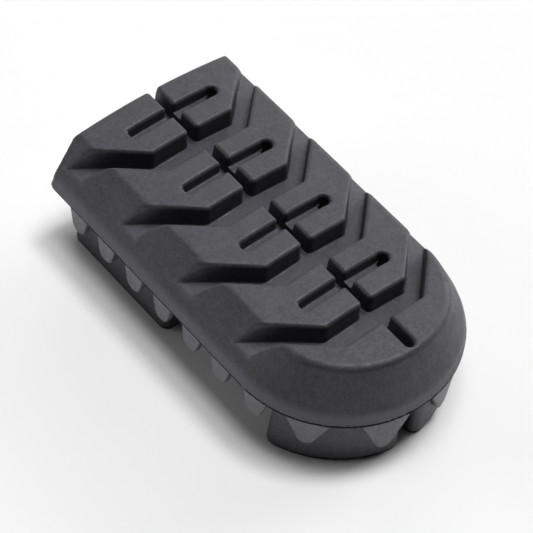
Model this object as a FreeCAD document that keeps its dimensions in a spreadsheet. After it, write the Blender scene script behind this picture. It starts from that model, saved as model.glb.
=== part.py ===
import FreeCAD, Part
import math
import os
import Sketcher

# Stomp pad: a thick rubber tread bonded to a toothed base frame that stands on four feet.
# Frame: +X runs from the flat end to the round nose, +Y to the pad's left seen from the
# flat end, +Z up.  The origin is on the floor, under the middle of the bounding box.

DOC = FreeCAD.newDocument("stomp_pad")
V = FreeCAD.Vector

# ---------------------------------------------------------------- driving dimensions
DIMENSIONS = {
    # overall
    "pad_length": 121.0,
    "pad_width": 72.0,
    "pad_height": 38.0,
    "nose_flat": 1.0,           # the nose's two corner arcs stand this far off the middle line
    # tread body
    "rim_level": 20.1,          # underside of the tread's rim above the floor
    "lip_rise": 2.2,            # height of the upright rim
    "lip_round": 0.5,
    "bevel_step": 0.95,         # the bevel starts this far inside the rim
    "bevel_top_radius": 26.0,   # half width where the bevel would meet the full height
    "bevel_top_shift": 3.1,     # the nose bevel is steeper, so its top arc sits forward
    "crown_radius": 180.0,      # the lug tops are crowned across the width
    # lugs and grooves
    "groove_depth": 6.5,
    "floor_radius": 127.0,      # the groove floors are crowned more than the tops
    "first_front": 19.15,       # flat end to the front edge of the first lug row
    "row_pitch": 25.0,
    "cross_groove": 7.5,
    "centre_groove": 2.9,
    "centre_offset": 0.15,      # the centre groove lies a little to the left of the middle line
    "bend_reach": 14.2,         # centre line to the bend of each chevron
    "sweep_angle": 42.8,        # how far the outer part of a chevron is swept back
    "slot_middle": 9.05,        # lug front edge to the middle of its slot
    "slot_width": 3.3,
    "slot_depth": 3.7,
    "slot_reach": 15.25,
    "hole_radius": 1.65,        # full-depth hole at the end of each left slot
    "hole_reach": 14.35,
    "slit_width": 3.0,
    "slit_offset": 0.45,
    "slit_end": 8.5,            # nose tip to the closed end of the nose slit
    # bond film and base frame
    "film_thickness": 0.9,
    "film_inset": 0.35,
    "base_thickness": 1.8,
    "flange_thickness": 0.6,    # thin edge of the base that the teeth hang from
    "flange_inset": 1.1,
    "base_inset": 2.7,
    # teeth round the base frame
    "tooth_pitch": 12.8,
    "first_tooth": 12.8,        # flat end to the middle of the first tooth
    "tooth_thickness": 2.2,
    "nose_tooth_thickness": 1.6,
    "tooth_root": 4.35,         # half width at the top of the plate
    "tooth_shoulder": 2.85,     # half width where the round tip begins
    "tooth_drop": 7.0,          # plate underside to the tip
    "tooth_tip_rise": 2.35,
    "narrow_tooth_root": 6.6,
    "narrow_tooth_shoulder": 2.45,
    "narrow_tooth_drop": 8.5,
    "narrow_tooth_tip_rise": 1.75,
    "wide_tooth_root": 8.0,
    "wide_tooth_shoulder": 2.55,
    "wide_tooth_drop": 11.3,
    "wide_tooth_tip_rise": 1.85,
    # feet
    "foot_inset": 4.9,
    "foot_depth": 12.0,
    "rear_foot_start": 6.7,     # flat end to the rear foot
    "rear_foot_length": 42.9,
    "nose_foot_radius": 33.2,   # about a point half the pad's width behind the nose tip
    "nose_foot_depth": 11.0,
    "nose_foot_sweep": 73.0,    # outer end of each nose foot, from the +X direction
    "gap_left": 4.2,            # inner end of the left nose foot, in degrees
    "gap_right": 5.6,
    "foot_corner": 2.5,
    "foot_sole_round": 0.4,
    "peg_radius": 3.0,
    "peg_clearance": 0.05,
    "adhesive_thickness": 0.8,
    "adhesive_inset": 0.2,
}

ROWS = 4
STRAIGHT_TEETH = 6
TOOL_OVERRUN = 5.0


def make_sheet():
    """Fill the spreadsheet: one named plain number in each row."""
    sheet = DOC.addObject("Spreadsheet::Sheet", "Dims")
    for row, (alias, value) in enumerate(DIMENSIONS.items(), start=1):
        sheet.set(f"A{row}", alias)
        sheet.set(f"B{row}", str(value))
        sheet.setAlias(f"B{row}", alias)
    DOC.recompute()
    return sheet


SHEET = make_sheet()

# Levels and places that several pieces share, as expressions of the sheet.
REAR = "(-Dims.pad_length / 2)"
HALF_WIDTH = "(Dims.pad_width / 2)"
NOSE_START = "(Dims.pad_length / 2 - Dims.pad_width / 2 + Dims.nose_flat)"
NOSE_CENTRE = "(Dims.pad_length / 2 - Dims.pad_width / 2)"
BEVEL_LEVEL = "(Dims.rim_level + Dims.lip_rise)"
BEVEL_FOOT_RADIUS = "(Dims.pad_width / 2 - Dims.bevel_step)"
FILM_LEVEL = "(Dims.rim_level - Dims.film_thickness)"
BASE_LEVEL = "(Dims.rim_level - Dims.film_thickness - Dims.base_thickness)"
FOOT_HEIGHT = f"({BASE_LEVEL} - Dims.adhesive_thickness)"


# ---------------------------------------------------------------- sketches and solids
def bind(sketch, name, constraint, expression):
    """Add one constraint to a sketch and drive it from the sheet."""
    index = sketch.addConstraint(constraint)
    sketch.renameConstraint(index, name)
    sketch.setExpression(f"Constraints.{name}", expression)


def new_sketch(name, level="0", rotation=None):
    """Sketch lying flat at a level, or turned upright by a rotation."""
    sketch = DOC.addObject("Sketcher::SketchObject", name)
    if rotation is not None:
        sketch.Placement = FreeCAD.Placement(V(0, 0, 0), rotation)
    sketch.setExpression("Placement.Base.z", level)
    return sketch


def polygon(name, corners, level="0"):
    """Closed outline whose corners are (x, y) expressions of the sheet."""
    sketch = new_sketch(name, level)
    count = len(corners)
    # a ring of the right handedness to start from; the solver moves each corner into place
    ring = [V(math.cos(i * math.tau / count), math.sin(i * math.tau / count), 0) for i in range(count)]
    for i in range(count):
        sketch.addGeometry(Part.LineSegment(ring[i], ring[(i + 1) % count]), False)
    for i, (x, y) in enumerate(corners):
        sketch.addConstraint(Sketcher.Constraint("Coincident", i, 1, (i - 1) % count, 2))
        bind(sketch, f"x{i}", Sketcher.Constraint("DistanceX", -1, 1, i, 1, ring[i].x), x)
        bind(sketch, f"y{i}", Sketcher.Constraint("DistanceY", -1, 1, i, 1, ring[i].y), y)
    return sketch


def join_ring(sketch, count):
    """Join each line or arc of a closed outline to the next."""
    for i in range(count):
        sketch.addConstraint(Sketcher.Constraint("Coincident", i, 2, (i + 1) % count, 1))


def outline(name, radius, level, start=NOSE_START, rear=REAR):
    """Plan of the pad at one level: flat rear, straight sides, two wide corner arcs at the nose."""
    sketch = new_sketch(name, level)
    size, middle, back, flat = 30.0, 20.0, -60.0, 1.0
    tip, up = middle + size - flat, V(0, 0, 1)
    right = Part.ArcOfCircle(Part.Circle(V(middle, -flat, 0), up, size - flat), -math.pi / 2, 0)
    left = Part.ArcOfCircle(Part.Circle(V(middle, flat, 0), up, size - flat), 0, math.pi / 2)
    sketch.addGeometry(Part.LineSegment(V(back, -size, 0), V(middle, -size, 0)), False)
    sketch.addGeometry(right, False)
    sketch.addGeometry(Part.LineSegment(V(tip, -flat, 0), V(tip, flat, 0)), False)
    sketch.addGeometry(left, False)
    sketch.addGeometry(Part.LineSegment(V(middle, size, 0), V(back, size, 0)), False)
    sketch.addGeometry(Part.LineSegment(V(back, size, 0), V(back, -size, 0)), False)
    join_ring(sketch, 6)
    for line in (0, 4):
        sketch.addConstraint(Sketcher.Constraint("Horizontal", line))
    sketch.addConstraint(Sketcher.Constraint("Vertical", 5))
    for arc, side_end, tip_end in ((1, 1, 2), (3, 2, 1)):
        sketch.addConstraint(Sketcher.Constraint("Vertical", arc, side_end, arc, 3))
        sketch.addConstraint(Sketcher.Constraint("Horizontal", arc, tip_end, arc, 3))
        bind(sketch, f"start_{arc}", Sketcher.Constraint("DistanceX", -1, 1, arc, 3, middle), start)
        bind(sketch, f"radius_{arc}", Sketcher.Constraint("Radius", arc, size - flat),
             f"{radius} - Dims.nose_flat")
    bind(sketch, "flat_right", Sketcher.Constraint("DistanceY", -1, 1, 1, 3, -flat), "-Dims.nose_flat")
    bind(sketch, "flat_left", Sketcher.Constraint("DistanceY", -1, 1, 3, 3, flat), "Dims.nose_flat")
    bind(sketch, "rear", Sketcher.Constraint("DistanceX", -1, 1, 5, 1, back), rear)
    return sketch


def extrude(name, sketch, length):
    """Solid made by raising a sketch along its normal."""
    solid = DOC.addObject("Part::Extrusion", name)
    solid.Base = sketch
    solid.DirMode = "Normal"
    solid.Solid = True
    solid.setExpression("LengthFwd", length)
    return solid


def cylinder(name, radius, height, x="0", y="0", z="0"):
    """Upright cylinder."""
    solid = DOC.addObject("Part::Cylinder", name)
    solid.setExpression("Radius", radius)
    solid.setExpression("Height", height)
    for axis, place in zip("xyz", (x, y, z)):
        solid.setExpression(f"Placement.Base.{axis}", place)
    return solid


def lengthwise_cylinder(name, radius, top):
    """Cylinder along the pad whose highest line is at a level; it gives the crowned surfaces."""
    solid = DOC.addObject("Part::Cylinder", name)
    solid.Placement = FreeCAD.Placement(V(0, 0, 0), FreeCAD.Rotation(V(0, 1, 0), 90))
    solid.setExpression("Radius", radius)
    solid.setExpression("Height", f"Dims.pad_length + {2 * TOOL_OVERRUN}")
    solid.setExpression("Placement.Base.x", f"{REAR} - {TOOL_OVERRUN}")
    solid.setExpression("Placement.Base.z", f"{top} - {radius}")
    return solid


def fuse(name, solids):
    """One solid from several."""
    result = DOC.addObject("Part::MultiFuse", name)
    result.Shapes = solids
    return result


def common(name, solids):
    """What several solids share."""
    result = DOC.addObject("Part::MultiCommon", name)
    result.Shapes = solids
    return result


def cut(name, base, tool):
    """One solid less another."""
    result = DOC.addObject("Part::Cut", name)
    result.Base = base
    result.Tool = tool
    return result


def fillet(name, base, radius, wanted):
    """Round the edges of a solid that a test picks out."""
    DOC.recompute()
    edges = [i for i, edge in enumerate(base.Shape.Edges, start=1) if wanted(edge)]
    result = DOC.addObject("Part::Fillet", name)
    result.Base = base
    result.Edges = [(i, DIMENSIONS[radius], DIMENSIONS[radius]) for i in edges]
    return result


def is_upright(edge):
    """True for a straight vertical edge."""
    rise = edge.Vertexes[-1].Point - edge.Vertexes[0].Point
    return len(edge.Vertexes) == 2 and math.hypot(rise.x, rise.y) < 1e-6


def is_at_level(edge, level):
    """True for an edge that lies in one horizontal plane."""
    box = edge.BoundBox
    return abs(box.ZMin - level) < 1e-6 and abs(box.ZMax - level) < 1e-6


# ---------------------------------------------------------------- tread
def row_front(row):
    """Front edge of the lugs in one row."""
    return f"({REAR} + Dims.first_front + {row} * Dims.row_pitch)"


def chevron(row):
    """Cross groove in front of one lug row: straight in the middle, swept back outside the bends."""
    front = row_front(row)
    ends = "(Dims.pad_width / 2 + 4)"
    swept = f"(({ends} - Dims.bend_reach) * tan(Dims.sweep_angle))"
    rear_side = [
        (f"{front} - {swept}", f"-{ends}"),
        (front, "-Dims.bend_reach"),
        (front, "Dims.bend_reach"),
        (f"{front} - {swept}", ends),
    ]
    nose_side = [(f"{x} + Dims.cross_groove", y) for x, y in reversed(rear_side)]
    name = f"chevron_{row}"
    return extrude(name, polygon(f"{name}_plan", rear_side + nose_side, BASE_LEVEL), "Dims.pad_height")


def rectangle(name, x_low, x_high, y_low, y_high):
    """Rectangular cutting tool through the whole tread."""
    corners = [(x_low, y_low), (x_high, y_low), (x_high, y_high), (x_low, y_high)]
    return extrude(name, polygon(f"{name}_plan", corners, BASE_LEVEL), "Dims.pad_height")


def slot(row, side):
    """Shallow slot from the centre groove into one lug."""
    middle = f"({row_front(row)} - Dims.slot_middle)"
    low, high = f"{middle} - Dims.slot_width / 2", f"{middle} + Dims.slot_width / 2"
    reach = "Dims.hole_reach" if side > 0 else "Dims.slot_reach"
    name = f"slot_{row}_{'left' if side > 0 else 'right'}"
    return rectangle(name, low, high, "0", f"{side} * {reach}")


def slot_hole(row):
    """Full-depth hole that ends a left slot."""
    middle = f"({row_front(row)} - Dims.slot_middle)"
    return cylinder(f"slot_hole_{row}", "Dims.hole_radius", "Dims.pad_height",
                    middle, "Dims.hole_reach", BASE_LEVEL)


def nose_slit():
    """Short lengthwise slit from the last cross groove into the nose lug."""
    start = f"{row_front(ROWS - 1)} + Dims.cross_groove / 2"
    centre = "(Dims.pad_length / 2 - Dims.slit_end - Dims.slit_width / 2)"
    low, high = "Dims.slit_offset - Dims.slit_width / 2", "Dims.slit_offset + Dims.slit_width / 2"
    channel = rectangle("nose_slit", start, centre, low, high)
    end = cylinder("nose_slit_end", "Dims.slit_width / 2", "Dims.pad_height",
                   centre, "Dims.slit_offset", BASE_LEVEL)
    return [channel, end]


def centre_groove():
    """Lengthwise groove from the flat end to the last cross groove."""
    low = "Dims.centre_offset - Dims.centre_groove / 2"
    high = "Dims.centre_offset + Dims.centre_groove / 2"
    return rectangle("centre_groove", f"{REAR} - {TOOL_OVERRUN}",
                     f"{row_front(ROWS - 1)} + Dims.cross_groove / 2", low, high)


def groove_tool():
    """Everything that is cut out of the tread: deep grooves and holes, then the shallow slots."""
    deep = [chevron(row) for row in range(ROWS)] + [slot_hole(row) for row in range(ROWS)]
    deep += [*nose_slit(), centre_groove()]
    floor = lengthwise_cylinder("groove_floor", "Dims.floor_radius",
                                "(Dims.pad_height - Dims.groove_depth)")
    slots = [slot(row, side) for row in range(ROWS) for side in (-1, 1)]
    slot_floor = lengthwise_cylinder("slot_floor", "Dims.crown_radius",
                                     "(Dims.pad_height - Dims.slot_depth)")
    return fuse("groove_tool", [
        cut("deep_cuts", fuse("grooves", deep), floor),
        cut("shallow_cuts", fuse("slots", slots), slot_floor),
    ])


def tread_pad():
    """Rubber tread: lip, wide bevel and crowned lugs with a chevron groove pattern."""
    rim = extrude("rim", outline("rim_plan", HALF_WIDTH, "Dims.rim_level"), "Dims.lip_rise")
    rim_round = fillet("rim_round", rim, "lip_round",
                       lambda edge: is_at_level(edge, DIMENSIONS["rim_level"] + DIMENSIONS["lip_rise"])
                       and edge.BoundBox.XMax > REAR_FACE + 1)
    bevel = DOC.addObject("Part::Loft", "bevel")
    bevel.Sections = [
        outline("bevel_foot", BEVEL_FOOT_RADIUS, BEVEL_LEVEL),
        outline("bevel_top", "Dims.bevel_top_radius", "Dims.pad_height",
                start=f"({NOSE_START} + Dims.bevel_top_shift)"),
    ]
    bevel.Solid = True
    bevel.Ruled = True
    crown = lengthwise_cylinder("crown", "Dims.crown_radius", "Dims.pad_height")
    crowned = common("crowned_bevel", [bevel, crown])
    return cut("tread_pad", fuse("tread_blank", [rim_round, crowned]), groove_tool())


# ---------------------------------------------------------------- bond film and base frame
def bond_film():
    """Bonding layer in the seam between the tread and the base frame."""
    radius = "(Dims.pad_width / 2 - Dims.film_inset)"
    plan = outline("film_plan", radius, FILM_LEVEL, rear=f"({REAR} + Dims.film_inset)")
    return extrude("bond_film", plan, "Dims.film_thickness")


def tooth_profile(name, kind):
    """Tooth seen from outside, in an upright sketch: broad root, tapered flanks, round tip."""
    sketch = new_sketch(name, BASE_LEVEL, FreeCAD.Rotation(V(1, 0, 0), 90))
    root, shoulder = f"Dims.{kind}_root", f"Dims.{kind}_shoulder"
    tip_rise = f"Dims.{kind}_tip_rise"
    bend = f"(Dims.{kind}_drop - {tip_rise})"
    tip_radius = f"(({shoulder}^2 + {tip_rise}^2) / (2 * {tip_rise}))"
    # a tooth of about the right size to start from
    wide, narrow, low, rise = 5.0, 3.0, 4.0, 2.0
    arc = Part.Arc(V(-narrow, -low, 0), V(0, -low - rise, 0), V(narrow, -low, 0))
    sketch.addGeometry(Part.LineSegment(V(wide, 1, 0), V(-wide, 1, 0)), False)
    sketch.addGeometry(Part.LineSegment(V(-wide, 1, 0), V(-narrow, -low, 0)), False)
    sketch.addGeometry(arc, False)
    sketch.addGeometry(Part.LineSegment(V(narrow, -low, 0), V(wide, 1, 0)), False)
    join_ring(sketch, 4)
    places = (
        ("root_right", 0, 1, V(wide, 1, 0), root, "Dims.base_thickness"),
        ("root_left", 0, 2, V(-wide, 1, 0), f"-{root}", "Dims.base_thickness"),
        ("shoulder_left", 1, 2, V(-narrow, -low, 0), f"-{shoulder}", f"-{bend}"),
        ("shoulder_right", 3, 1, V(narrow, -low, 0), shoulder, f"-{bend}"),
    )
    for label, line, end, start, x, y in places:
        bind(sketch, f"{label}_x", Sketcher.Constraint("DistanceX", -1, 1, line, end, start.x), x)
        bind(sketch, f"{label}_y", Sketcher.Constraint("DistanceY", -1, 1, line, end, start.y), y)
    bind(sketch, "tip", Sketcher.Constraint("Radius", 2, (narrow ** 2 + rise ** 2) / (2 * rise)), tip_radius)
    return sketch


def side_tooth(index, side):
    """Tooth on a straight side of the base frame."""
    name = f"tooth_{index}_{'left' if side > 0 else 'right'}"
    profile = tooth_profile(f"{name}_profile", "tooth")
    outer = "(Dims.pad_width / 2 - Dims.flange_inset)"
    profile.setExpression("Placement.Base.x", f"{REAR} + Dims.first_tooth + {index} * Dims.tooth_pitch")
    # the profile is raised towards -Y
    profile.setExpression("Placement.Base.y", outer if side > 0 else f"-{outer} + Dims.tooth_thickness")
    return extrude(name, profile, "Dims.tooth_thickness")


def nose_tooth(index, angle, kind):
    """Tooth on the round nose, before it is trimmed to the curved wall."""
    name = f"nose_tooth_{index}"
    profile = tooth_profile(f"{name}_profile", kind)
    turn = FreeCAD.Rotation(V(0, 0, 1), angle + 90)
    profile.Placement = FreeCAD.Placement(V(0, 0, 0), turn.multiply(profile.Placement.Rotation))
    profile.setExpression("Placement.Base.x", NOSE_CENTRE)
    profile.setExpression("Placement.Base.z", BASE_LEVEL)
    return extrude(name, profile, "Dims.pad_width * 0.52")


# angle round the nose and kind of each nose tooth; the two wide ones flank the tip
NOSE_TEETH = (
    (-80.2, "tooth"),
    (-53.3, "narrow_tooth"),
    (-16.8, "wide_tooth"),
    (20.5, "wide_tooth"),
    (53.3, "narrow_tooth"),
    (80.2, "tooth"),
)


def nose_wall():
    """Curved wall that the nose teeth are trimmed to."""
    outer = extrude("nose_wall_outer", outline(
        "nose_wall_outer_plan", "(Dims.pad_width / 2 - Dims.flange_inset)", "0"), "Dims.rim_level")
    inner = extrude("nose_wall_inner", outline(
        "nose_wall_inner_plan",
        "(Dims.pad_width / 2 - Dims.flange_inset - Dims.nose_tooth_thickness)", "0"), "Dims.rim_level")
    return cut("nose_wall", outer, inner)


def base_layer(name, inset, level, thickness):
    """Flat layer of the base frame with the pad's outline, set in from its edge."""
    plan = outline(f"{name}_plan", f"(Dims.pad_width / 2 - {inset})", level, rear=f"({REAR} + {inset})")
    return extrude(name, plan, thickness)


def base_frame():
    """Stiff plate with a thin flange, teeth hanging from its edge and sockets for the feet's pegs."""
    plate = base_layer("base_plate", "Dims.base_inset", BASE_LEVEL, "Dims.base_thickness")
    flange = base_layer("base_flange", "Dims.flange_inset", f"({FILM_LEVEL} - Dims.flange_thickness)",
                        "Dims.flange_thickness")
    side_teeth = [side_tooth(i, side) for i in range(STRAIGHT_TEETH) for side in (-1, 1)]
    nose_teeth = [nose_tooth(i, angle, kind) for i, (angle, kind) in enumerate(NOSE_TEETH)]
    trimmed = common("nose_teeth", [fuse("nose_teeth_blank", nose_teeth), nose_wall()])
    solid = fuse("base_blank", [plate, flange, *side_teeth, trimmed])
    sockets = [
        cylinder(f"{name}_socket", "Dims.peg_radius + Dims.peg_clearance", "Dims.base_thickness",
                 x, y, BASE_LEVEL)
        for name, x, y in PEGS
    ]
    return cut("base_frame", solid, fuse("sockets", sockets))


# ---------------------------------------------------------------- feet and adhesive pads
SIDE_FOOT_OUTER = "(Dims.pad_width / 2 - Dims.foot_inset)"
SIDE_FOOT_MIDDLE = "(Dims.pad_width / 2 - Dims.foot_inset - Dims.foot_depth / 2)"
NOSE_FOOT_MIDDLE = "(Dims.nose_foot_radius - Dims.nose_foot_depth / 2)"


def peg_places():
    """Name and place of every peg: two on each foot."""
    places = []
    for side, word in ((1, "left"), (-1, "right")):
        for end, share in (("rear", 0.25), ("front", 0.75)):
            x = f"{REAR} + Dims.rear_foot_start + {share} * Dims.rear_foot_length"
            places.append((f"rear_{word}_{end}_peg", x, f"{side} * {SIDE_FOOT_MIDDLE}"))
        gap = f"Dims.gap_{word}"
        for end, share in (("inner", 0.25), ("outer", 0.75)):
            angle = f"({gap} + {share} * (Dims.nose_foot_sweep - {gap}))"
            x = f"{NOSE_CENTRE} + {NOSE_FOOT_MIDDLE} * cos({angle})"
            y = f"{side} * {NOSE_FOOT_MIDDLE} * sin({angle})"
            places.append((f"nose_{word}_{end}_peg", x, y))
    return places


PEGS = peg_places()


def add_pegs(name, block):
    """Fuse a foot's pegs to its top face."""
    pegs = [
        cylinder(peg, "Dims.peg_radius", "Dims.base_thickness", x, y, BASE_LEVEL)
        for peg, x, y in PEGS if peg.startswith(name.replace("foot_", ""))
    ]
    return fuse(name, [block, *pegs])


def side_block(name, side, inset, height, level):
    """Rectangular block for a rear foot or its adhesive pad."""
    solid = DOC.addObject("Part::Box", name)
    solid.setExpression("Length", f"Dims.rear_foot_length - 2 * {inset}")
    solid.setExpression("Width", f"Dims.foot_depth - 2 * {inset}")
    solid.setExpression("Height", height)
    solid.setExpression("Placement.Base.x", f"{REAR} + Dims.rear_foot_start + {inset}")
    inner = f"({SIDE_FOOT_OUTER} - Dims.foot_depth)"
    y = f"{inner} + {inset}" if side > 0 else f"-{SIDE_FOOT_OUTER} + {inset}"
    solid.setExpression("Placement.Base.y", y)
    solid.setExpression("Placement.Base.z", level)
    return solid


def nose_block(name, side, inset, height, level):
    """Ring sector for a nose foot or its adhesive pad."""
    gap = "Dims.gap_left" if side > 0 else "Dims.gap_right"
    trim = f"{inset} / {NOSE_FOOT_MIDDLE} * 180 / pi"
    sweep = f"(Dims.nose_foot_sweep - {gap} - 2 * {trim})"
    start = f"({gap} + {trim})" if side > 0 else f"(-Dims.nose_foot_sweep + {trim})"
    outer = cylinder(f"{name}_outer", f"Dims.nose_foot_radius - {inset}", height, NOSE_CENTRE, "0", level)
    inner = cylinder(f"{name}_inner", f"Dims.nose_foot_radius - Dims.nose_foot_depth + {inset}",
                     height, NOSE_CENTRE, "0", level)
    outer.setExpression("Angle", sweep)
    outer.setExpression("Placement.Rotation.Angle", start)
    return cut(name, outer, inner)


def foot(name, block):
    """Solid rubber foot with rounded corners and sole, and pegs on top."""
    corners = fillet(f"{name}_corners", block, "foot_corner", is_upright)
    sole = fillet(f"{name}_sole", corners, "foot_sole_round",
                  lambda edge: is_at_level(edge, DIMENSIONS["adhesive_thickness"]))
    return add_pegs(name, sole)


def feet_and_adhesives():
    """The four feet and the adhesive pad under each."""
    pieces = []
    for side, word in ((1, "left"), (-1, "right")):
        for place, block in (("rear", side_block), ("nose", nose_block)):
            name = f"foot_{place}_{word}"
            solid = block(f"{name}_block", side, "0", FOOT_HEIGHT, "Dims.adhesive_thickness")
            pieces.append(foot(name, solid))
            pad = block(f"adhesive_{place}_{word}_block", side, "Dims.adhesive_inset",
                        "Dims.adhesive_thickness", "0")
            pieces.append(fillet(f"adhesive_{place}_{word}", pad, "foot_corner", is_upright))
    return pieces


# ---------------------------------------------------------------- checks and export
REAR_FACE = -DIMENSIONS["pad_length"] / 2


def check(pieces):
    """Stop on any failed object or bad solid."""
    for item in DOC.Objects:
        if "Invalid" in item.State or "Error" in item.State:
            raise RuntimeError(f"{item.Name} failed: {item.State}")
    for piece in pieces:
        shape = piece.Shape
        if shape.isNull() or not shape.isValid() or len(shape.Solids) != 1:
            raise RuntimeError(f"{piece.Label} is not one valid solid")


def export(pieces):
    """Write one STEP file for each piece, named after it."""
    os.makedirs("parts", exist_ok=True)
    for piece in pieces:
        piece.Shape.exportStep(f"parts/{piece.Label}.step")
        box = piece.Shape.BoundBox
        print(f"{piece.Label}: {piece.Shape.Volume / 1000:.2f} cm3, "
              f"x {box.XMin:.2f} to {box.XMax:.2f}, y {box.YMin:.2f} to {box.YMax:.2f}, "
              f"z {box.ZMin:.2f} to {box.ZMax:.2f}")


PIECES = [tread_pad(), bond_film(), base_frame(), *feet_and_adhesives()]
DOC.recompute()
check(PIECES)
export(PIECES)
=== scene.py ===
"""Looks of the stomp pad: detailed meshes and moulded-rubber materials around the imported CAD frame.

Every visible piece is a rounded solid given by a signed distance in millimetres, negative inside, and
meshed by surface_net(). The frame's axes hold: +X to the round nose, +Y to the left side, +Z up.
"""

import math

import bpy
import numpy as np
from mathutils import Matrix, Vector


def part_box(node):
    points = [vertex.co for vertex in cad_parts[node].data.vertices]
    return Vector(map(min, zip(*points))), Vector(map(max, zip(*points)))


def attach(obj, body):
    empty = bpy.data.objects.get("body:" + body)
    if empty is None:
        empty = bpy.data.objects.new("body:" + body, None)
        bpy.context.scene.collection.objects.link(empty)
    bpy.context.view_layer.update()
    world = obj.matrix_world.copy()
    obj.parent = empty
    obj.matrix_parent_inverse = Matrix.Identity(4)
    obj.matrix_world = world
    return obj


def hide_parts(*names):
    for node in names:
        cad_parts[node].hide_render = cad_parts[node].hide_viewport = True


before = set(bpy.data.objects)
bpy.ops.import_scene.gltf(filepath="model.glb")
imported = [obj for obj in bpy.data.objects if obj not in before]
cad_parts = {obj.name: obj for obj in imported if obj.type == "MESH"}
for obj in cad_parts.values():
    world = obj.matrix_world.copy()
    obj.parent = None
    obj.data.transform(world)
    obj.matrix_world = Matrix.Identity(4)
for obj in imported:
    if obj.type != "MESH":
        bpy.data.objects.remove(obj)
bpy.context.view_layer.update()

MM = 0.001


def span(node):
    """Low and high corner of a CAD node in millimetres."""
    low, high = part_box(node)
    return [round(v / MM, 1) for v in low], [round(v / MM, 1) for v in high]


# ---------------------------------------------------------------- sizes, from the frame where it gives them
TREAD_LOW, TREAD_HIGH = span("tread_pad")
REAR, TIP = -60.5, 60.5
HALF_WIDTH = 36.0
NOSE_FLAT = 1.0
NOSE_X = TIP - HALF_WIDTH + NOSE_FLAT
RIM_LEVEL, TOP = TREAD_LOW[2], TREAD_HIGH[2]
PLATE_BOTTOM, FLANGE_BOTTOM, PLATE_TOP = 17.4, 18.6, 19.2

LIP_RISE = 2.2
LIP_ROUND = 0.3
RIM_ROUND = 0.2
# height and fade of the painted reflection band above the seam
RIM_REFLECTION_HEIGHT = 4.4
RIM_REFLECTION_FADE = 2.2
BEVEL_STEP = 0.95
BEVEL_TOP_RADIUS = 26.0
BEVEL_TOP_SHIFT = 3.1
CROWN_RADIUS = 180.0
FLOOR_RADIUS = 127.0
GROOVE_DEPTH = 6.5
PLAN_CORNER = 1.4
BEVEL_CORNER = 0.4
EDGE_ROUND = 1.1
CREST_ROUND = 1.4
MOUTH_ROUND = 0.35

ROWS = 4
FIRST_FRONT = REAR + 19.15
ROW_PITCH = 25.0
CROSS_GROOVE = 7.5
CENTRE_GROOVE = 2.9
CENTRE_OFFSET = 0.15
BEND_REACH = 14.2
SWEEP = math.radians(42.8)
BEND_ROUND = 0.35
PRONG_CORNER = 1.3
HEEL_CORNER = 0.5
MOUTH_CORNER = 0.7
SLOT_MIDDLE = 9.05
SLOT_WIDTH = 3.3
SLOT_DEPTH = 3.7
SLOT_REACH = 15.25
SLOT_CORNER = 0.8
HOLE_RADIUS = 1.65
HOLE_REACH = 14.35
SLIT_WIDTH = 3.0
SLIT_OFFSET = 0.45
SLIT_END = TIP - 8.5
GROOVE_FILLET = 0.35
WALL_DRAFT = math.tan(math.radians(3.0))

# the film reaches out to just under the rim's edge, so that its painted seam shadow shows
FILM_INSET = 0.35
FLANGE_INSET = 1.1
PLATE_INSET = 2.7
TOOTH_PITCH = 12.8
FIRST_TOOTH = REAR + 12.8
SIDE_TEETH = 6
TOOTH_THICKNESS = 2.2
NOSE_TOOTH_THICKNESS = 1.6
SIDE_TOOTH_ROUND = 0.45
NOSE_TOOTH_ROUND = 0.4
TOOTH_FILLET = 0.3
TOOTH_OVERLAP = 0.6
PLATE_ROUND = 0.25
FILM_ROUND = 0.1
# root radius, tip radius and drop below the plate of each kind of tooth
SIDE_TOOTH = (4.0, 2.9, 7.0)
NARROW_TOOTH = (5.5, 2.6, 8.5)
WIDE_TOOTH = (6.7, 2.7, 11.3)
# angle round the nose and kind of each nose tooth
NOSE_TEETH = (
    (-80.2, SIDE_TOOTH),
    (-53.3, NARROW_TOOTH),
    (-16.8, WIDE_TOOTH),
    (20.5, WIDE_TOOTH),
    (53.3, NARROW_TOOTH),
    (80.2, SIDE_TOOTH),
)
TOOTH_CENTRE_X = 24.5

FOOT_INSET = 4.9
FOOT_DEPTH = 12.0
REAR_FOOT = (REAR + 6.7, REAR + 6.7 + 42.9)
NOSE_FOOT_RADIUS = 33.2
NOSE_FOOT_DEPTH = 11.0
NOSE_FOOT_SWEEP = 73.0
NOSE_GAP = {1: 4.2, -1: 5.6}
FOOT_CORNER = 2.5
SOLE_ROUND = 0.4
FOOT_FLARE = 0.5
PEG_RADIUS = 3.0
PEG_CLEARANCE = 0.05
ADHESIVE_THICKNESS = 0.8
# the pads reach past the feet's plan, because the feet widen downwards
ADHESIVE_INSET = -0.2
ADHESIVE_ROUND = 0.15

CELL = 0.5
THIN_CELL = 0.4
FILM_CELL = 0.45
ADHESIVE_CELL = 0.2


# ---------------------------------------------------------------- distances
def far(a, b):
    """Length of a two-part offset."""
    return np.sqrt(a * a + b * b)


def both(a, b, radius):
    """Intersection whose outer edge is rounded."""
    return np.minimum(-radius, np.maximum(a, b)) + far(np.maximum(a + radius, 0), np.maximum(b + radius, 0))


def either(a, b, radius):
    """Union whose inner corner is filleted."""
    return np.maximum(radius, np.minimum(a, b)) - far(np.maximum(radius - a, 0), np.maximum(radius - b, 0))


def plan_of_pad(x, y, radius, nose_x, rear, corner):
    """The pad's outline: straight sides, round nose, flat rear with rounded corners."""
    across = np.maximum(np.abs(y) - NOSE_FLAT, 0)
    return both(far(np.maximum(x - nose_x, 0), across) - radius + NOSE_FLAT, rear - x, corner)


def crown(y, radius, top):
    """Height of a surface that is crowned across the pad."""
    return top - radius + np.sqrt(radius ** 2 - y * y)


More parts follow.
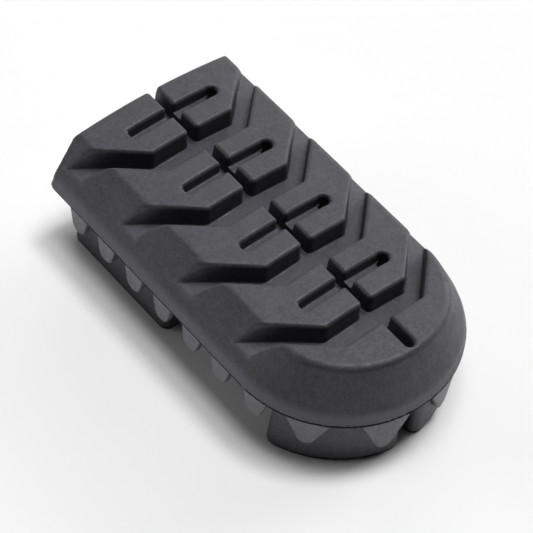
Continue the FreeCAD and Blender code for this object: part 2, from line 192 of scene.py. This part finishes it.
def across_slot(x, y, centre_x, side):
    """Shallow slot reaching sideways from the centre groove."""
    reach = HOLE_REACH if side > 0 else SLOT_REACH
    return both(np.abs(x - centre_x) - SLOT_WIDTH / 2, np.maximum(side * y - reach, -side * y), SLOT_CORNER)


def chevron(x, y, front):
    """Cross groove in front of a lug row, swept back outside its bends."""
    swept = (np.abs(y) - BEND_REACH) * math.tan(SWEEP)
    ahead, behind = x - front, x - front - CROSS_GROOVE
    lug_side = either(-ahead, -(ahead + swept) * math.cos(SWEEP), BEND_ROUND)
    nose_side = both(behind, (behind + swept) * math.cos(SWEEP), BEND_ROUND)
    return np.maximum(lug_side, nose_side)


def lug_rows():
    """Front of each lug row."""
    return [FIRST_FRONT + row * ROW_PITCH for row in range(ROWS)]


def groove_plan(x, y):
    """Plan of the full-depth cuts: centre groove, slit, cross grooves and the holes that end the slots."""
    last_front = lug_rows()[-1]
    grooves = np.maximum(np.abs(y - CENTRE_OFFSET) - CENTRE_GROOVE / 2, x - last_front - CROSS_GROOVE / 2)
    slit_start = last_front + CROSS_GROOVE / 2
    slit_centre = SLIT_END - SLIT_WIDTH / 2
    beyond = np.maximum(x - slit_centre, 0) + np.minimum(x - slit_start, 0)
    grooves = either(grooves, far(beyond, y - SLIT_OFFSET) - SLIT_WIDTH / 2, HEEL_CORNER)
    for front in lug_rows():
        corner = np.where(x < front + CROSS_GROOVE / 2, PRONG_CORNER, HEEL_CORNER)
        grooves = either(grooves, chevron(x, y, front), corner)
    for front in lug_rows():
        grooves = np.minimum(grooves, far(x - front + SLOT_MIDDLE, y - HOLE_REACH) - HOLE_RADIUS)
    return grooves


def slot_plan(x, y, grooves):
    """Plan of the slots together with the grooves that they open into."""
    for front in lug_rows():
        for side in (-1, 1):
            grooves = either(grooves, across_slot(x, y, front - SLOT_MIDDLE, side), MOUTH_CORNER)
    return grooves


def bevel_side(x, y, z):
    """Sloping sides of the tread, above its lip."""
    bevel_level = RIM_LEVEL + LIP_RISE
    rise = (z - bevel_level) / (TOP - bevel_level)
    foot_radius = HALF_WIDTH - BEVEL_STEP
    taper = (foot_radius - BEVEL_TOP_RADIUS) / (TOP - bevel_level)
    radius = foot_radius + rise * (BEVEL_TOP_RADIUS - foot_radius)
    across = np.maximum(np.abs(y) - NOSE_FLAT, 0)
    side = far(np.maximum(x - NOSE_X - rise * BEVEL_TOP_SHIFT, 0), across) - radius + NOSE_FLAT
    return both(side / math.hypot(1, taper), REAR - x, BEVEL_CORNER)


def edge_radius(y, z):
    """Rounding of the groove edges: soft at the top of the lugs, crisp on the bevel."""
    below = (crown(y, CROWN_RADIUS, TOP) - z - 1.5) / 2.5
    return EDGE_ROUND + (MOUTH_ROUND - EDGE_ROUND) * np.clip(below, 0, 1)


def floor_level(y):
    """Height of the groove floors."""
    return crown(y, FLOOR_RADIUS, TOP - GROOVE_DEPTH)


def lighter_groove_mouths(x, y, z):
    """How much lighter the groove floors are made: most where they run out into the bevel."""
    near = np.clip(1.6 - np.abs(z - floor_level(y)) / 0.5, 0, 1)
    outward = np.clip((np.abs(y) - 23.0) / 9.0, 0, 1)
    return near * outward * (groove_plan(x, y) < 0.4)


def rim_painted_reflection(x, y, z):
    """How far the painted reflection shows: a lighter band above the seam that stands in for the floor
    mirrored in the rim, 1 at the rim, falling to 0 on the bevel.
    """
    return np.clip((RIM_LEVEL + RIM_REFLECTION_HEIGHT - z) / RIM_REFLECTION_FADE, 0, 1)


def tread(x, y, z):
    """Tread: leaning rim, straight bevel, crowned lugs, grooves with crowned floors, shallow slots."""
    lean = BEVEL_STEP * np.clip((z - RIM_LEVEL) / LIP_RISE, 0, 1)
    rim = plan_of_pad(x, y, HALF_WIDTH - lean, NOSE_X, REAR, PLAN_CORNER)
    sides = both(bevel_side(x, y, z), rim, LIP_ROUND)
    lugs = both(sides, z - crown(y, CROWN_RADIUS, TOP), CREST_ROUND)
    draft = (TOP - z) * WALL_DRAFT
    grooves = groove_plan(x, y)
    deep = both(grooves + draft, floor_level(y) - z, GROOVE_FILLET)
    slots = slot_plan(x, y, grooves) + draft
    shallow = both(slots, crown(y, CROWN_RADIUS, TOP - SLOT_DEPTH) - z, GROOVE_FILLET)
    lugs = both(lugs, -np.minimum(deep, shallow), edge_radius(y, z))
    return both(lugs, RIM_LEVEL - z, RIM_ROUND)


def tooth(u, z, kind):
    """Tapered tooth with a round tip: u runs along the edge that it hangs from."""
    root, tip, drop = kind
    start = PLATE_BOTTOM + TOOTH_OVERLAP
    length = start - (PLATE_BOTTOM - drop + tip)
    slope = (root - tip) / length
    straight = math.sqrt(1 - slope * slope)
    u, down = np.abs(u), start - z
    place = straight * down - slope * u
    flank = straight * u + slope * down - root
    round_tip = far(u, down - length) - tip
    return np.where(place > straight * length, round_tip, np.maximum(flank, z - PLATE_TOP))


def side_teeth(x, y, z):
    """The evenly spaced teeth of both straight sides."""
    steps = np.clip(np.round((x - FIRST_TOOTH) / TOOTH_PITCH), 0, SIDE_TEETH - 1)
    shape = tooth(x - FIRST_TOOTH - steps * TOOTH_PITCH, z, SIDE_TOOTH)
    middle = HALF_WIDTH - FLANGE_INSET - TOOTH_THICKNESS / 2
    return both(shape, np.abs(np.abs(y) - middle) - TOOTH_THICKNESS / 2, SIDE_TOOTH_ROUND)


def nose_teeth(x, y, z):
    """The teeth that hang from the round nose."""
    outer = HALF_WIDTH - FLANGE_INSET
    reach = far(np.maximum(x - NOSE_X, 0), np.maximum(np.abs(y) - NOSE_FLAT, 0)) + NOSE_FLAT
    wall = np.abs(reach - outer + NOSE_TOOTH_THICKNESS / 2) - NOSE_TOOTH_THICKNESS / 2
    angle = np.arctan2(y, x - TOOTH_CENTRE_X)
    teeth = None
    for degrees, kind in NOSE_TEETH:
        along = outer * (angle - math.radians(degrees))
        shape = both(tooth(along, z, kind), wall, NOSE_TOOTH_ROUND)
        teeth = shape if teeth is None else np.minimum(teeth, shape)
    return teeth


def peg_places(side):
    """Where the pegs of one side's two feet stand: rear foot first."""
    y = side * (HALF_WIDTH - FOOT_INSET - FOOT_DEPTH / 2)
    length = REAR_FOOT[1] - REAR_FOOT[0]
    rear = [(REAR_FOOT[0] + share * length, y) for share in (0.25, 0.75)]
    reach = NOSE_FOOT_RADIUS - NOSE_FOOT_DEPTH / 2
    sweep = NOSE_FOOT_SWEEP - NOSE_GAP[side]
    angles = [math.radians(NOSE_GAP[side] + share * sweep) for share in (0.25, 0.75)]
    nose = [(TOOTH_CENTRE_X + reach * math.cos(a), side * reach * math.sin(a)) for a in angles]
    return rear, nose


def pegs(x, y, places, radius):
    """Upright round pegs or sockets in plan."""
    distances = [far(x - px, y - py) - radius for px, py in places]
    return np.minimum.reduce(distances)


def plate(x, y, z, inset, bottom):
    """Flat layer of the base, from a level up to the plate's top."""
    outline = plan_of_pad(x, y, HALF_WIDTH - inset, NOSE_X, REAR + inset, PLAN_CORNER)
    middle, half = (PLATE_TOP + bottom) / 2, (PLATE_TOP - bottom) / 2
    return both(outline, np.abs(z - middle) - half, PLATE_ROUND)


def base(x, y, z):
    """Stiff plate with a thin flange, teeth round its edge and sockets for the feet."""
    solid = np.minimum(plate(x, y, z, PLATE_INSET, PLATE_BOTTOM), plate(x, y, z, FLANGE_INSET, FLANGE_BOTTOM))
    solid = either(solid, side_teeth(x, y, z), TOOTH_FILLET)
    solid = either(solid, nose_teeth(x, y, z), TOOTH_FILLET)
    for side in (-1, 1):
        for places in peg_places(side):
            solid = np.maximum(solid, -pegs(x, y, places, PEG_RADIUS + PEG_CLEARANCE))
    return solid


def side_plan(x, y, side, inset):
    """Rounded rectangle of a rear foot."""
    low, high = REAR_FOOT[0] + inset, REAR_FOOT[1] - inset
    middle = side * (HALF_WIDTH - FOOT_INSET - FOOT_DEPTH / 2)
    along = np.abs(x - (low + high) / 2) - (high - low) / 2
    return both(along, np.abs(y - middle) - FOOT_DEPTH / 2 + inset, FOOT_CORNER - inset)


def nose_plan(x, y, side, inset):
    """Rounded ring sector of a nose foot."""
    u, v = x - TOOTH_CENTRE_X, side * y
    middle = NOSE_FOOT_RADIUS - NOSE_FOOT_DEPTH / 2
    ring = np.abs(far(u, v) - middle) - NOSE_FOOT_DEPTH / 2 + inset
    low, high = math.radians(NOSE_GAP[side]), math.radians(NOSE_FOOT_SWEEP)
    before = u * math.sin(low) - v * math.cos(low) + inset
    after = v * math.cos(high) - u * math.sin(high) + inset
    ends = np.maximum(before, after)
    return both(ring, ends, FOOT_CORNER - inset)


def foot(plan, side, places):
    """Foot with a rounded sole and its pegs."""
    def field(x, y, z):
        bottom, top = ADHESIVE_THICKNESS, PLATE_BOTTOM
        outline = plan(x, y, side, 0.0) - FOOT_FLARE * np.clip((top - z) / (top - bottom), 0, 1)
        block = both(outline, np.abs(z - (bottom + top) / 2) - (top - bottom) / 2, SOLE_ROUND)
        stubs = np.maximum(pegs(x, y, places, PEG_RADIUS), np.maximum(z - PLATE_TOP, PLATE_BOTTOM - 1 - z))
        return np.minimum(block, stubs)
    return field


def adhesive(plan, side):
    """Thin adhesive pad under a foot."""
    def field(x, y, z):
        half = ADHESIVE_THICKNESS / 2
        return both(plan(x, y, side, ADHESIVE_INSET), np.abs(z - half) - half, ADHESIVE_ROUND)
    return field


# ---------------------------------------------------------------- meshing
def lattice(low, high, cell):
    """Evenly spaced levels that overrun a range."""
    count = math.ceil((high - low) / cell) + 5
    middle = (low + high) / 2
    return middle + (np.arange(count) - (count - 1) / 2) * cell


def gradient(field, points, step):
    """Direction in which a distance grows at each point."""
    slopes = []
    for axis in range(3):
        offset = np.zeros(3)
        offset[axis] = step
        slopes.append(field(*(points + offset).T) - field(*(points - offset).T))
    return np.stack(slopes, 1) / (2 * step)


def net_points(values, active, axes):
    """One point in each cell that the surface crosses: the mean of its edge crossings."""
    cells = np.argwhere(active)
    corners = [(i, j, k) for i in (0, 1) for j in (0, 1) for k in (0, 1)]
    level = {c: values[tuple((cells + c).T)] for c in corners}
    total, count = np.zeros((len(cells), 3)), np.zeros(len(cells))
    for a in corners:
        for axis in range(3):
            if a[axis]:
                continue
            b = tuple(v + (n == axis) for n, v in enumerate(a))
            crossed = (level[a] < 0) != (level[b] < 0)
            share = np.where(crossed, level[a] / np.where(crossed, level[a] - level[b], 1), 0)
            spot = np.tile(np.array(a, float), (len(cells), 1))
            spot[:, axis] += share
            total += spot * crossed[:, None]
            count += crossed
    place = cells + total / count[:, None]
    steps = [axis[1] - axis[0] for axis in axes]
    return np.stack([axes[n][0] + place[:, n] * steps[n] for n in range(3)], 1)


def net_quads(inside, index):
    """A quad round each lattice edge that the surface crosses, wound to face outwards."""
    quads = []
    for axis in range(3):
        u, v = (axis + 1) % 3, (axis + 2) % 3
        ahead = np.roll(inside, -1, axis)
        trim = [slice(1, -1)] * 3
        crossed = np.zeros_like(inside)
        crossed[tuple(trim)] = (inside != ahead)[tuple(trim)]
        spots = np.argwhere(crossed)
        ring = []
        for du, dv in ((-1, -1), (0, -1), (0, 0), (-1, 0)):
            cell = spots.copy()
            cell[:, u] += du
            cell[:, v] += dv
            ring.append(index[tuple(cell.T)])
        quad = np.stack(ring, 1)
        flipped = ~inside[tuple(spots.T)]
        quad[flipped] = quad[flipped][:, ::-1]
        quads.append(quad)
    return np.concatenate(quads)


def surface_net(field, low, high, cell):
    """Points and quads of a distance's zero surface, with the points drawn onto it."""
    axes = [lattice(low[n], high[n], cell) for n in range(3)]
    x, y, z = axes[0][:, None, None], axes[1][None, :, None], axes[2][None, None, :]
    values = np.broadcast_to(field(x, y, z), [len(a) for a in axes])
    inside = values < 0
    held = np.zeros([n - 1 for n in inside.shape], int)
    wide, deep, tall = held.shape
    for i in (0, 1):
        for j in (0, 1):
            for k in (0, 1):
                held += inside[i:wide + i, j:deep + j, k:tall + k]
    active = (held > 0) & (held < 8)
    index = np.full(active.shape, -1)
    index[active] = np.arange(active.sum())
    points = net_points(values, active, axes)
    quads = net_quads(inside, index)
    for _ in range(3):
        slope = gradient(field, points, 0.02)
        steep = np.maximum((slope ** 2).sum(1), 0.25)
        move = -field(*points.T)[:, None] * slope / steep[:, None]
        size = np.linalg.norm(move, axis=1, keepdims=True)
        points = points + move * np.minimum(1, 0.4 * cell / np.maximum(size, 1e-9))
    return points, quads


def add_values(mesh, name, values):
    """Stores one number per point for the materials."""
    layer = mesh.attributes.new(name, "FLOAT", "POINT")
    layer.data.foreach_set("value", np.ascontiguousarray(values, np.float32))


def solid_piece(name, node, field, cell, extra=None):
    """Meshes a distance, hides the CAD node it stands for and rides on the frame."""
    low, high = span(node)
    points, quads = surface_net(field, low, high, cell)
    mesh = bpy.data.meshes.new(name)
    mesh.vertices.add(len(points))
    mesh.vertices.foreach_set("co", (points * MM).ravel())
    mesh.loops.add(quads.size)
    mesh.loops.foreach_set("vertex_index", quads.ravel())
    mesh.polygons.add(len(quads))
    mesh.polygons.foreach_set("loop_start", np.arange(0, quads.size, 4))
    mesh.polygons.foreach_set("use_smooth", np.ones(len(quads), bool))
    mesh.update(calc_edges=True)
    normals = gradient(field, points, 0.05)
    normals /= np.maximum(np.linalg.norm(normals, axis=1, keepdims=True), 1e-9)
    probe = 0.9
    inner = field(*(points - normals * probe).T)
    outer = field(*(points + normals * probe).T)
    add_values(mesh, "edge", np.clip(1 + inner / probe, 0, 1))
    add_values(mesh, "cavity", np.clip(1 - outer / probe, 0, 1))
    if extra:
        for key, function in extra.items():
            add_values(mesh, key, function(*points.T))
    mesh.normals_split_custom_set_from_vertices(normals)
    piece = bpy.data.objects.new(name, mesh)
    bpy.context.scene.collection.objects.link(piece)
    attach(piece, "root")
    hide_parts(node)
    return piece


def film(x, y, z):
    """Bonding layer in the seam between tread and base; its near-black, dull strip below the rim paints the
    shadow line of the seam.
    """
    outline = plan_of_pad(x, y, HALF_WIDTH - FILM_INSET, NOSE_X, REAR + FILM_INSET, PLAN_CORNER)
    middle, half = (RIM_LEVEL + PLATE_TOP) / 2, (RIM_LEVEL - PLATE_TOP) / 2
    return both(outline, np.abs(z - middle) - half, FILM_ROUND)


# ---------------------------------------------------------------- materials
class Look:
    """A material being wired: add() makes a node, sets its values and joins its inputs."""

    def __init__(self, name):
        self.material = bpy.data.materials.new(name)
        self.material.use_nodes = True
        self.tree = self.material.node_tree
        self.shader = self.tree.nodes["Principled BSDF"]

    def join(self, target, value):
        """Sets a socket's value, or links another node's output to it."""
        if isinstance(value, bpy.types.NodeSocket):
            self.tree.links.new(value, target)
        else:
            target.default_value = value

    def add(self, kind, values=None, out=0, **settings):
        """Makes a node and gives back one of its outputs."""
        node = self.tree.nodes.new(kind)
        for key, value in settings.items():
            setattr(node, key, value)
        for key, value in (values or {}).items():
            self.join(node.inputs[key], value)
        return node.outputs[out]

    def place(self):
        """Position on the object in metres."""
        return self.add("ShaderNodeTexCoord", out="Object")

    def noise(self, scale, detail=3.0, roughness=0.5):
        """Cloudy value from 0 to 1, with patches about 1/scale metres wide."""
        values = {"Vector": self.place(), "Scale": scale, "Detail": detail, "Roughness": roughness}
        return self.add("ShaderNodeTexNoise", values, out=0)

    def streaks(self):
        """Fine upright lines left on the walls by drawing the piece out of its mould."""
        squeezed = self.add("ShaderNodeMapping", {"Vector": self.place(), "Scale": (1.0, 1.0, 0.05)})
        values = {"Vector": squeezed, "Scale": 900.0, "Detail": 2.0, "Roughness": 0.5}
        lines = self.add("ShaderNodeTexNoise", values, out=0)
        facing = self.add("ShaderNodeNewGeometry", out="Normal")
        upright = self.add("ShaderNodeSeparateXYZ", {0: facing}, out=2)
        wall = self.between(self.math("ABSOLUTE", upright), 0.55, 0.85, 1.0, 0.0)
        return self.math("MULTIPLY", lines, wall)

    def between(self, value, low, high, start=0.0, end=1.0):
        """Smoothly maps low..high to start..end."""
        values = {"Value": value, "From Min": low, "From Max": high, "To Min": start, "To Max": end}
        return self.add("ShaderNodeMapRange", values, interpolation_type="SMOOTHSTEP")

    def math(self, operation, a, b=0.0):
        """One sum, product or comparison."""
        return self.add("ShaderNodeMath", {0: a, 1: b}, operation=operation)

    def mix(self, share, a, b):
        """Blend of two colours."""
        node = self.tree.nodes.new("ShaderNodeMix")
        node.data_type = "RGBA"
        self.join(node.inputs["Factor"], share)
        self.join(node.inputs["A"], a)
        self.join(node.inputs["B"], b)
        return node.outputs["Result"]

    def stored(self, name):
        """A number stored per point on the mesh."""
        return self.add("ShaderNodeAttribute", out="Fac", attribute_name=name)

    def bump(self, height, distance, strength=1.0, normal=None):
        """Relief of a given height in metres."""
        values = {"Height": height, "Distance": distance, "Strength": strength}
        if normal is not None:
            values["Normal"] = normal
        return self.add("ShaderNodeBump", values)

    def set(self, **values):
        """Sets the shader's own sockets."""
        for key, value in values.items():
            self.join(self.shader.inputs[key.replace("_", " ")], value)


TINT = 0.12
SHINE = 0.62
SHINE_TINT = (0.91, 0.895, 1.0, 1.0)


def grey(value, tint=0.0):
    """Neutral colour, a little blue for a positive tint."""
    return (value * (1 + tint / 5), value, value * (1 + tint), 1.0)


def moulded(name, dark, light, worn, dust, roughness, streak=0.3, shine=SHINE, grain=2.5e-5):
    """Moulded rubber or plastic: mottled colour, wall streaks, worn edges, dust and fine grain, with lighter
    groove mouths and a painted reflection band on the rim where the mesh stores them.
    """
    look = Look(name)
    clouds = look.between(look.noise(60, 5.0, 0.65), 0.35, 0.66)
    colour = look.mix(clouds, grey(dark, TINT), grey(light, TINT))
    fine = look.noise(900, 3.0, 0.7)
    colour = look.mix(look.between(fine, 0.38, 0.66, 0.0, 0.55), colour, grey(light * 1.55, TINT))
    drawn = look.streaks()
    colour = look.mix(look.between(drawn, 0.4, 0.72, 0.0, streak), colour, grey(light * 1.6, TINT))
    patches = look.between(look.noise(150, 4.0, 0.6), 0.42, 0.72, 0.0, 0.8)
    rubbed = look.math("MULTIPLY", look.stored("edge"), patches)
    colour = look.mix(rubbed, colour, grey(worn, TINT))
    # the groove floors are made lighter near their outer ends, in patches, where the mesh stores it
    mouth_noise = look.between(look.noise(200, 3.0, 0.6), 0.3, 0.7, 0.3, 0.7)
    colour = look.mix(look.math("MULTIPLY", look.stored("mouth_patch"), mouth_noise), colour, grey(worn * 1.3, TINT))
    # painted reflection: the rim band above the seam is made much lighter, standing in for the floor mirrored
    # in the rim
    colour = look.mix(look.math("MULTIPLY", look.stored("rim"), 0.9), colour, grey(light * 3.0, TINT))
    specks = look.between(look.noise(1300, 1.0), 0.74, 0.80, 0.0, 0.45)
    settled = look.between(look.stored("cavity"), 0.0, 0.6, 0.5, 1.0)
    colour = look.mix(look.math("MULTIPLY", specks, settled), colour, grey(dust))
    rough = look.between(look.noise(420, 5.0, 0.7), 0.32, 0.68, roughness - 0.06, roughness + 0.06)
    waves = look.bump(look.noise(110, 2.0), 9e-5)
    lines = look.bump(drawn, 2.5e-5, normal=waves)
    pits = look.bump(look.noise(800, 3.0, 0.65), 3.5e-5, normal=lines)
    relief = look.bump(look.noise(2600, 2.0, 0.6), grain, normal=pits)
    mottle = look.math("ADD", look.noise(1500, 4.0, 0.75), look.math("MULTIPLY", look.noise(330, 3.0), 0.35))
    gloss = look.between(mottle, 0.50, 0.86, shine * 0.83, shine * 1.20)
    look.set(Base_Color=colour, Roughness=rough, Normal=relief, Specular_IOR_Level=gloss)
    look.shader.inputs["Specular Tint"].default_value = SHINE_TINT
    look.shader.inputs["IOR"].default_value = 1.5
    return look.material


# ---------------------------------------------------------------- stage, lights and camera
FLOOR_HALF = 6.0
FLOOR_STEPS = 24


def floor_piece():
    """Plain pale floor."""
    steps = np.linspace(-FLOOR_HALF, FLOOR_HALF, FLOOR_STEPS + 1)
    points = [(x, y, 0) for y in steps for x in steps]
    row = FLOOR_STEPS + 1
    faces = [(j * row + i, j * row + i + 1, (j + 1) * row + i + 1, (j + 1) * row + i)
             for j in range(FLOOR_STEPS) for i in range(FLOOR_STEPS)]
    mesh = bpy.data.meshes.new("floor")
    mesh.from_pydata(points, [], faces)
    floor = bpy.data.objects.new("floor", mesh)
    bpy.context.scene.collection.objects.link(floor)
    look = Look("floor_paper")
    shade = look.between(look.noise(3, 2.0), 0.3, 0.7)
    look.set(Base_Color=look.mix(shade, grey(0.825), grey(0.835)), Roughness=0.9, Specular_IOR_Level=0.1)
    mesh.materials.append(look.material)
    return floor


# azimuth, elevation, strength and spread of each soft light; the strengths go back to a fit
# to the reference view
SUNS = (
    (45, 18, 0.10, 34),
    (90, 18, 1.34, 30),
    (135, 18, 0.62, 34),
    (180, 18, 0.54, 34),
    (225, 18, 0.58, 34),
    (120, 38, 0.15, 30),
    (90, 71, 1.40, 16),
    (60, 80, 0.39, 16),
    (180, 80, 0.64, 16),
    (0, 90, 0.35, 16),
)


def sun(name, azimuth, elevation, strength, spread):
    """Soft light from a direction; azimuth is from +X towards +Y, in degrees."""
    lamp = bpy.data.lights.new(name, "SUN")
    lamp.energy = strength
    lamp.angle = math.radians(spread)
    holder = bpy.data.objects.new(name, lamp)
    a, e = math.radians(azimuth), math.radians(elevation)
    towards = Vector((math.cos(e) * math.cos(a), math.cos(e) * math.sin(a), math.sin(e)))
    holder.rotation_mode = "QUATERNION"
    holder.rotation_quaternion = towards.to_track_quat("Z", "Y")
    bpy.context.scene.collection.objects.link(holder)


def surroundings():
    """Black surroundings: the soft lights give all the light."""
    world = bpy.data.worlds.new("studio")
    world.use_nodes = True
    world.node_tree.nodes["Background"].inputs["Strength"].default_value = 0.0
    bpy.context.scene.world = world


CAMERA_TARGET = Vector((8.87, -14.43, 38.0)) * MM
CAMERA_DISTANCE = 601.9 * MM
CAMERA_ELEVATION = math.radians(51.547)
CAMERA_AZIMUTH = math.radians(-46.136)
CAMERA_ROLL = math.radians(8.219)
CAMERA_LENS = 150.43


def camera():
    """Camera at the viewing angle of the reference view."""
    away = Vector((math.cos(CAMERA_ELEVATION) * math.cos(CAMERA_AZIMUTH),
                   math.cos(CAMERA_ELEVATION) * math.sin(CAMERA_AZIMUTH),
                   math.sin(CAMERA_ELEVATION)))
    level_right = (-away).cross(Vector((0, 0, 1))).normalized()
    level_up = level_right.cross(-away)
    right = math.cos(CAMERA_ROLL) * level_right + math.sin(CAMERA_ROLL) * level_up
    up = math.cos(CAMERA_ROLL) * level_up - math.sin(CAMERA_ROLL) * level_right
    data = bpy.data.cameras.new("camera")
    data.lens = CAMERA_LENS
    data.sensor_width = 36.0
    holder = bpy.data.objects.new("camera", data)
    turn = Matrix((right, up, away)).transposed()
    holder.matrix_world = Matrix.Translation(CAMERA_TARGET + CAMERA_DISTANCE * away) @ turn.to_4x4()
    bpy.context.scene.collection.objects.link(holder)
    bpy.context.scene.camera = holder


# ---------------------------------------------------------------- build
def build():
    """Makes every piece with its material."""
    tread_look = moulded("tread_rubber", 0.018, 0.027, 0.05, 0.20, 0.55)
    foot_look = moulded("foot_rubber", 0.017, 0.025, 0.04, 0.15, 0.5)
    base_look = moulded("frame_plastic", 0.088, 0.106, 0.14, 0.3, 0.52)
    # painted shadow: the film is near black and dull, so that the strip it shows below the rim reads as the
    # shadow line of the seam
    seam_shadow_look = moulded("film_painted_seam_shadow", 0.010, 0.015, 0.02, 0.04, 0.9, shine=0.25)
    foam_look = moulded("adhesive_foam", 0.008, 0.012, 0.02, 0.06, 0.9, shine=0.2)
    # "rim" holds the painted reflection band on the rim
    # the other stored value makes the groove floors lighter near their outer ends
    marks = {"mouth_patch": lighter_groove_mouths, "rim": rim_painted_reflection}
    pad = solid_piece("tread", "tread_pad", tread, CELL, marks)
    pad.data.materials.append(tread_look)
    moulding = solid_piece("base_frame_moulding", "base_frame", base, THIN_CELL)
    moulding.data.materials.append(base_look)
    sheet = solid_piece("film_sheet", "bond_film", film, FILM_CELL)
    sheet.data.materials.append(seam_shadow_look)
    for side, word in ((1, "left"), (-1, "right")):
        for end, plan, places in zip(("rear", "nose"), (side_plan, nose_plan), peg_places(side)):
            node = f"foot_{end}_{word}"
            block = solid_piece(f"{node}_rubber", node, foot(plan, side, places), CELL)
            block.data.materials.append(foot_look)
            node = f"adhesive_{end}_{word}"
            pad = solid_piece(f"{node}_foam", node, adhesive(plan, side), ADHESIVE_CELL)
            pad.data.materials.append(foam_look)


build()
floor_piece()
for number, (azimuth, elevation, strength, spread) in enumerate(SUNS):
    sun(f"soft_box_{number}", azimuth, elevation, strength, spread)
surroundings()
camera()
bpy.context.scene.view_settings.view_transform = "Standard"
